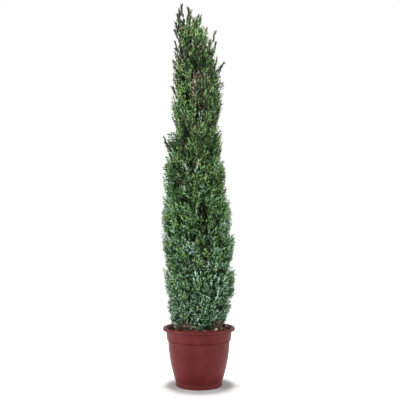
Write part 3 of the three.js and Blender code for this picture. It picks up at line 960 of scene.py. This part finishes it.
def scattered(name, places, headings, sizes, tones, shapes, dice, tree, shelf):
    """A shape from a shelf on each place, all of them in one plain mesh."""
    mesh = mesh_of(name, places * MM)
    add_values(mesh, "turn", "FLOAT_VECTOR", headings_to_turns(headings, dice))
    add_values(mesh, "size", "FLOAT", sizes * MM)
    add_values(mesh, "tone", "FLOAT", tones.astype(float))
    add_values(mesh, "shape", "INT", shapes.astype(np.int32))
    return settled(name, mesh, tree, {"Shapes": shelf})


def foliage_piece(name, growth, tree, shelf, nodes):
    """A tier's sprays as one piece, which takes the place of the solids in nodes."""
    places, headings, sizes, tones, slim = (np.array(column) for column in zip(*growth.sprays))
    dice = growth.dice
    open_shapes = SPRAY_SHAPES.count(OPEN_SPRAY)
    slim_picks = dice.integers(open_shapes, len(SPRAY_SHAPES), len(slim))
    open_picks = dice.integers(0, open_shapes, len(slim))
    shapes = np.where(slim, slim_picks, open_picks)
    piece = scattered(name, places, headings, sizes, tones, shapes, dice, tree, shelf)
    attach(piece, "root")
    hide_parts(*nodes)


def paired_materials(tones, parts, roughness, specular):
    """A pair of plain materials for each named pair of tones, one for each part."""

    def material(name, tone):
        return plain_material(name, colour(*tone), roughness, specular)[0]

    return [
        tuple(material(f"{name} {part}", tone) for part, tone in zip(parts, pair)) for name, pair in tones.items()
    ]


bark = bark_material()
twig_bark = twig_material()
pot_plastic = pot_material()
soil_brown = soil_material()
# Each tone is a pair: the wood end darkened as painted shade, the tips lightened as painted highlight.
spray_materials = paired_materials(SPRAY_TONES, ("spray wood with painted shade", "spray tips with painted highlight"), roughness=0.62, specular=0.3)

LIMB_SPANS = 40
TIER_SEED = 1000
LEADER_SEED = 2000
TRUNK_POINTS = 260

shelf = spray_shapes()
sprays = scatter_tree(spray_materials)
limbs = limb_tree()
wood_lines, twig_lines = [], []
for tier_index, tier in enumerate(TIERS):
    growth = Growth(TIER_SEED + tier_index)
    for sector in range(tier.masses):
        space = Space(tier_index, sector)
        line = curve_through([space.at(0, out, rise) for out, rise in STEM_KNOTS], LIMB_SPANS + 1)
        split = round(BOUGH_SHARE * LIMB_SPANS) if tier_index < BOUGH_TIERS else 0
        if split:
            wood_lines.append((line[: split + 1], np.linspace(*BOUGH_RADIUS, split + 1)))
        stem = line[split::2]
        growth.twigs.append((stem, np.linspace(*STEM_RADIUS, len(stem))))
        grow_mass(growth, space, 100 * tier_index + 10 * sector)
    nodes = [f"foliage_{tier_index + 1}_{sector + 1}" for sector in range(tier.masses)]
    foliage_piece(f"sprays_tier_{tier_index + 1}", growth, sprays, shelf, nodes)
    twig_lines += growth.twigs
growth = Growth(LEADER_SEED)
grow_leader(growth)
grow_sprigs(growth)
foliage_piece("sprays_leader", growth, sprays, shelf, ["leader"])
twig_lines += growth.twigs
clear_shelf(shelf)

smooth_twigs = {"Sides": 3, "Ridge Height": 0.0, "Bark": twig_bark}
twigs = settled("twigs", lines_mesh("twigs", twig_lines), limbs, smooth_twigs)
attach(twigs, "root")

heights = SOIL_TOP + (TRUNK_END - SOIL_TOP) * np.linspace(0, 1, TRUNK_POINTS) ** TRUNK_CROWDING
trunk_share = (heights - SOIL_TOP) / (TRUNK_END - SOIL_TOP)
trunk_radii = mixed(*TRUNK_RADIUS, trunk_share) + FLARE["extra"] * np.exp(-(heights - SOIL_TOP) / FLARE["fade"])
wood_lines.insert(0, (axis_at(heights), trunk_radii))
ridged_wood = {"Sides": 20, "Ridge Height": 0.0032, "Bark": bark}
wood = settled("trunk_and_boughs", lines_mesh("wood", wood_lines), limbs, ridged_wood)
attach(wood, "root")
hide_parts("trunk", *[name for name in frame["nodes"] if name.startswith("bough")])

# ---------------------------------------------------------------- pot and soil

POT_SIDES = 128
POT_WALL = 3
FLOOR = 5
FOOT = {"radius": 97, "height": 19, "ease": 1.5}
BODY = {"foot": 99.3, "swell": 126.3, "shoulder": 129.6}
SHOULDER_HEIGHT = 179
BAND = {"bottom": 135.3, "top": 139.3, "height": 185.5}
LIP = {"radius": 152.5, "roll": 6.6, "bottom": 224.5}
RIM_TOP = 237
BEAD = {"height": 174.5, "proud": 0.9}
GROOVE = {"height": 181.5, "depth": 1.0}
DRAFT = 0.8
STEP_INSIDE = 188
EASE = 1.4
ROLL_STEPS = 16


def body_curve(inset, steps=18):
    """The pot's swelling side from its foot up to its shoulder."""
    foot = np.array([BODY["foot"] - inset, FOOT["height"] + FOOT["ease"]])
    swell = np.array([BODY["swell"] - inset, (SHOULDER_HEIGHT + FOOT["height"]) / 2])
    shoulder = np.array([BODY["shoulder"] - inset, SHOULDER_HEIGHT])
    return [(1 - t) ** 2 * foot + 2 * t * (1 - t) * swell + t**2 * shoulder for t in np.linspace(0, 1, steps)]


def pot_piece():
    """The pot as one shell turned about its axis: up its outside, over the rolled rim and down its inside."""
    lip, roll_radius = LIP["radius"], LIP["roll"]
    roll_height = RIM_TOP - roll_radius
    foot, shoulder, proud = FOOT["radius"], BODY["shoulder"], BEAD["proud"]
    outside = [
        (foot - 8, 0),
        (foot, 0),
        (foot + 0.6, FOOT["height"] * 0.5),
        (foot, FOOT["height"]),
        *[point for point in body_curve(0) if point[1] < BEAD["height"] - 1],
        (shoulder - 0.3, BEAD["height"]),
        (shoulder + proud - 0.1, BEAD["height"] + 0.7),
        (shoulder + proud, GROOVE["height"]),
        (shoulder - GROOVE["depth"], GROOVE["height"] + DRAFT),
        (shoulder - GROOVE["depth"], BAND["height"] - DRAFT / 2),
        (BAND["bottom"] - 0.2, BAND["height"] - DRAFT / 2),
        (BAND["bottom"], BAND["height"] + DRAFT),
        (BAND["top"], roll_height - 4),
        (BAND["top"], roll_height - 1),
        (lip - POT_WALL, roll_height - 1),
        (lip - POT_WALL, LIP["bottom"]),
        (lip, LIP["bottom"]),
        (lip, roll_height),
    ]
    roll = [
        (lip - roll_radius * (1 - math.cos(t)), roll_height + roll_radius * math.sin(t))
        for t in np.linspace(0, math.pi, ROLL_STEPS)
    ]
    inside = [
        (BAND["top"] - POT_WALL, roll_height - 3),
        (BAND["bottom"] - POT_WALL, STEP_INSIDE + 3),
        (BODY["shoulder"] - GROOVE["depth"] - 1.6, STEP_INSIDE),
        *reversed(body_curve(POT_WALL + 1.2)),
        (BODY["foot"] - POT_WALL - FOOT["ease"], FLOOR),
    ]
    outside = round_corner([(0, 0), *outside], EASE)
    inside = round_corner([roll[-1], *inside, (0, FLOOR)], EASE)
    profile = outside + roll[1:-1] + inside
    piece = bpy.data.objects.new("moulded_pot", turned_mesh("moulded_pot", profile, POT_SIDES))
    bpy.context.scene.collection.objects.link(piece)
    piece.data.materials.append(pot_plastic)
    piece.data.polygons.foreach_set("use_smooth", [True] * len(piece.data.polygons))
    return piece


pot = pot_piece()
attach(pot, "root")
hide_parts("pot")


SOIL_SEED = 7
SOIL_RINGS = 46
SOIL_SIDES = 150
SOIL_SINK = 4
SOIL_RISE = {"height": 3.7, "steepness": 1.5}
CLEAR_OF_POT = {"side": 1.6, "band": 0.4, "floor": 0.4, "foot": 6.5}
LUMPS = {"count": 40, "finest": 0.4, "broadest": 0.05, "share": 6, "height": 1.5, "fade": 8}


def soil_piece():
    """The soil's crumbly top over a plain bowl that lies against the pot."""
    dice = np.random.default_rng(SOIL_SEED)
    edge = SOIL_TOP - SOIL_SINK
    slope = (BAND["top"] - BAND["bottom"]) / (RIM_TOP - LIP["roll"] - BAND["height"])
    band = BAND["bottom"] - POT_WALL - CLEAR_OF_POT["band"]
    wall = band + slope * (edge - BAND["height"])
    rise, steepness = SOIL_RISE["height"], SOIL_RISE["steepness"]
    rings = [k / SOIL_RINGS for k in range(SOIL_RINGS)]
    profile = [
        (0, FLOOR + CLEAR_OF_POT["floor"]),
        (BODY["foot"] - CLEAR_OF_POT["foot"], FLOOR + CLEAR_OF_POT["floor"]),
        *(tuple(p) for p in body_curve(POT_WALL + CLEAR_OF_POT["side"], 6)),
        (BODY["shoulder"] - POT_WALL - CLEAR_OF_POT["side"], STEP_INSIDE),
        (band, STEP_INSIDE + 3),
        *((wall * (1 - inwards), edge + rise * min(1, steepness * inwards)) for inwards in rings),
        (0, edge + rise),
    ]
    mesh = turned_mesh("soil_bed", profile, SOIL_SIDES)
    lumps = [
        (dice.uniform(0, 2 * math.pi), dice.uniform(LUMPS["broadest"], LUMPS["finest"]), dice.uniform(0, 6.3))
        for _ in range(LUMPS["count"])
    ]
    for vertex in mesh.vertices:
        x, y, z = vertex.co / MM
        radius = math.hypot(x, y)
        if z > edge - 0.5 and radius < wall - 1:
            relief = sum(math.sin(w * (x * math.cos(t) + y * math.sin(t)) + p) for t, w, p in lumps) / LUMPS["share"]
            vertex.co.z += MM * relief * LUMPS["height"] * min(1, (wall - radius) / LUMPS["fade"])
    piece = bpy.data.objects.new("soil_bed", mesh)
    bpy.context.scene.collection.objects.link(piece)
    mesh.materials.append(soil_brown)
    return piece


soil = soil_piece()
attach(soil, "root")
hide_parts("soil")

# ---------------------------------------------------------------- litter

CHIP_TONES = {
    "dark bark": ((44, 32, 26), (62, 45, 36)),
    "brown bark": ((78, 54, 42), (104, 74, 58)),
    "reddish bark": ((94, 58, 44), (122, 80, 62)),
    "bleached chip": ((150, 128, 104), (206, 188, 162)),
}
CHIP_SHARES = [0.24, 0.36, 0.18, 0.22]
CHIP_SEED = 90
CHIP_SHAPES = 6
CHIP_CORNERS = 5
CHIP_WIDTH = (0.4, 0.7)
CHIP_THICKNESS = (0.08, 0.16)
CHIP_UNEVEN = {"turn": 0.25, "reach": (0.75, 1.1), "far_side": 0.85, "face": 0.03}
DEAD_TWIG_GIRTH = 0.045

LITTER_SEED = 31
CHIPS = 3400
CHIP_SIZES = (6, 19)
LARGE_CHIPS = {"chance": 0.12, "gain": 1.3}
CHIP_STEEPNESS = 0.35
TO_THE_TOP = 0.6
HEAP = {"height": 27, "rim": 6, "inner": 30, "outer": 127, "fall": 104, "hollow": 1.3, "sunk": 2, "deepest": 6}


def chip_shapes(materials):
    """Chips of bark one unit long: flat slabs with five uneven corners, and last one dead twig."""
    shelf = bpy.data.collections.new("chip shapes")
    bpy.context.scene.collection.children.link(shelf)
    n = CHIP_CORNERS
    for number in range(CHIP_SHAPES):
        dice = np.random.default_rng(CHIP_SEED + number)
        points, faces = [], []
        if number == CHIP_SHAPES - 1:
            spindle(points, faces, np.array([0, 0, 0.0]), np.array([0, 0, 1.0]), DEAD_TWIG_GIRTH)
        else:
            width, thickness = dice.uniform(*CHIP_WIDTH), dice.uniform(*CHIP_THICKNESS)
            turn_off = CHIP_UNEVEN["turn"]
            turns = 2 * math.pi * (np.arange(n) + dice.uniform(-turn_off, turn_off, n)) / n
            for side in (-1, 1):
                for turn in turns:
                    reach = dice.uniform(*CHIP_UNEVEN["reach"]) * (1 if side < 0 else CHIP_UNEVEN["far_side"])
                    x = 0.5 * width * math.cos(turn) * reach
                    y = side * thickness / 2 + dice.uniform(-CHIP_UNEVEN["face"], CHIP_UNEVEN["face"])
                    points.append((x, y, 0.5 + 0.5 * math.sin(turn) * reach))
            faces.append(tuple(range(n)))
            faces.append(tuple(reversed(range(n, 2 * n))))
            faces.extend((k, n + k, n + (k + 1) % n, (k + 1) % n) for k in range(n))
        mesh = mesh_of(f"chip_{number}", points, (), faces)
        mesh.materials.append(materials[0][0])
        add_values(mesh, "young", "FLOAT", dice.integers(0, 2, len(faces)), "FACE")
        shelf.objects.link(bpy.data.objects.new(f"chip_{number}", mesh))
    return shelf


def heap_height(radius):
    """How deep the litter lies: heaped round the crown's foot, thinner at the pot's wall."""
    share = np.clip((radius - HEAP["fall"]) / (HEAP["outer"] - HEAP["fall"]), 0, 1)
    return mixed(HEAP["height"], HEAP["rim"], share ** HEAP["hollow"])


def litter_piece():
    """Chips strewn over the soil at all depths of the heap, but for those that would reach into the pot or under."""
    dice = np.random.default_rng(LITTER_SEED)
    radius = np.sqrt(dice.uniform(HEAP["inner"] ** 2, HEAP["outer"] ** 2, CHIPS))
    turn = dice.uniform(0, 2 * math.pi, CHIPS)
    depth = dice.uniform(0, 1, CHIPS) ** TO_THE_TOP
    sizes = dice.uniform(*CHIP_SIZES, CHIPS)
    sizes *= np.where(dice.random(CHIPS) < LARGE_CHIPS["chance"], LARGE_CHIPS["gain"], 1)
    height = SOIL_TOP - HEAP["sunk"] + heap_height(radius) * depth
    places = np.stack([radius * np.cos(turn), radius * np.sin(turn), height], axis=-1)
    headings = unit(dice.normal(0, 1, (CHIPS, 3)) * (1, 1, CHIP_STEEPNESS))
    shapes = dice.integers(0, CHIP_SHAPES, CHIPS)
    tones = dice.choice(len(CHIP_SHARES), CHIPS, p=CHIP_SHARES)
    reach = places + headings * sizes[:, None]
    within = np.hypot(reach[:, 0], reach[:, 1]) < HEAP["outer"] + 1
    above = reach[:, 2] > SOIL_TOP - HEAP["deepest"]
    kept = [column[within & above] for column in (places, headings, sizes, tones, shapes)]
    materials = paired_materials(CHIP_TONES, ("face", "edge"), roughness=0.85, specular=0.25)
    shelf = chip_shapes(materials)
    piece = scattered("bark_litter", *kept, dice, scatter_tree(materials), shelf)
    clear_shelf(shelf)
    return piece


litter = litter_piece()
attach(litter, "root")

# ---------------------------------------------------------------- studio

FLOOR_HALF = 1.7
FLOOR_GREY = (0.75, 0.75, 0.75, 1)
WALL_WHITE = (1, 1, 1, 1)
CEILING_GREY = (0.05, 0.05, 0.05, 1)
CEILING = (0.5, 0.56)

floor_mesh = bpy.data.meshes.new("floor")
floor_points = [(FLOOR_HALF * x, FLOOR_HALF * y, 0) for x, y in ((-1, -1), (1, -1), (1, 1), (-1, 1))]
floor_mesh.from_pydata(floor_points, [], [(0, 1, 2, 3)])
floor = bpy.data.objects.new("floor", floor_mesh)
bpy.context.scene.collection.objects.link(floor)
floor_mesh.materials.append(plain_material("studio floor", FLOOR_GREY, roughness=0.9, specular=0.0)[0])

# White all round, and dark from halfway up to the top, where the overhead bank is the light.
world = bpy.data.worlds.new("studio")
bpy.context.scene.world = world
world.use_nodes = True
walls = Nodes(world.node_tree)
look = walls.add("ShaderNodeTexCoord", output="Generated")
height = walls.add("ShaderNodeSeparateXYZ", None, {0: look}, output="Z")
shade = walls.blend(walls.between(height, *CEILING), WALL_WHITE, CEILING_GREY)
walls.feed(world.node_tree.nodes["Background"], {"Color": shade})

SOFTBOX_SIZE = (0.6, 1.6)
AIMED_AT = Vector((0, 0, 0.8))
OVERHEAD = {"power": 4.2, "spread": math.radians(16), "turn": (math.radians(-4), math.radians(-1), 0)}


def softbox(name, place, power):
    """An upright softbox that faces the middle of the plant."""
    data = bpy.data.lights.new(name, "AREA")
    data.shape = "RECTANGLE"
    data.size, data.size_y = SOFTBOX_SIZE
    data.energy = power
    light = bpy.data.objects.new(name, data)
    light.location = place
    light.rotation_euler = (AIMED_AT - Vector(place)).to_track_quat("-Z", "Y").to_euler()
    bpy.context.scene.collection.objects.link(light)


softbox("left softbox", (-2.4, -1.0, 0.9), 58)
softbox("right softbox", (2.4, -1.0, 0.9), 38)
overhead = bpy.data.lights.new("overhead bank", "SUN")
overhead.energy = OVERHEAD["power"]
overhead.angle = OVERHEAD["spread"]
bank = bpy.data.objects.new("overhead bank", overhead)
bank.rotation_euler = OVERHEAD["turn"]
bpy.context.scene.collection.objects.link(bank)

bpy.context.scene.view_settings.view_transform = "Standard"
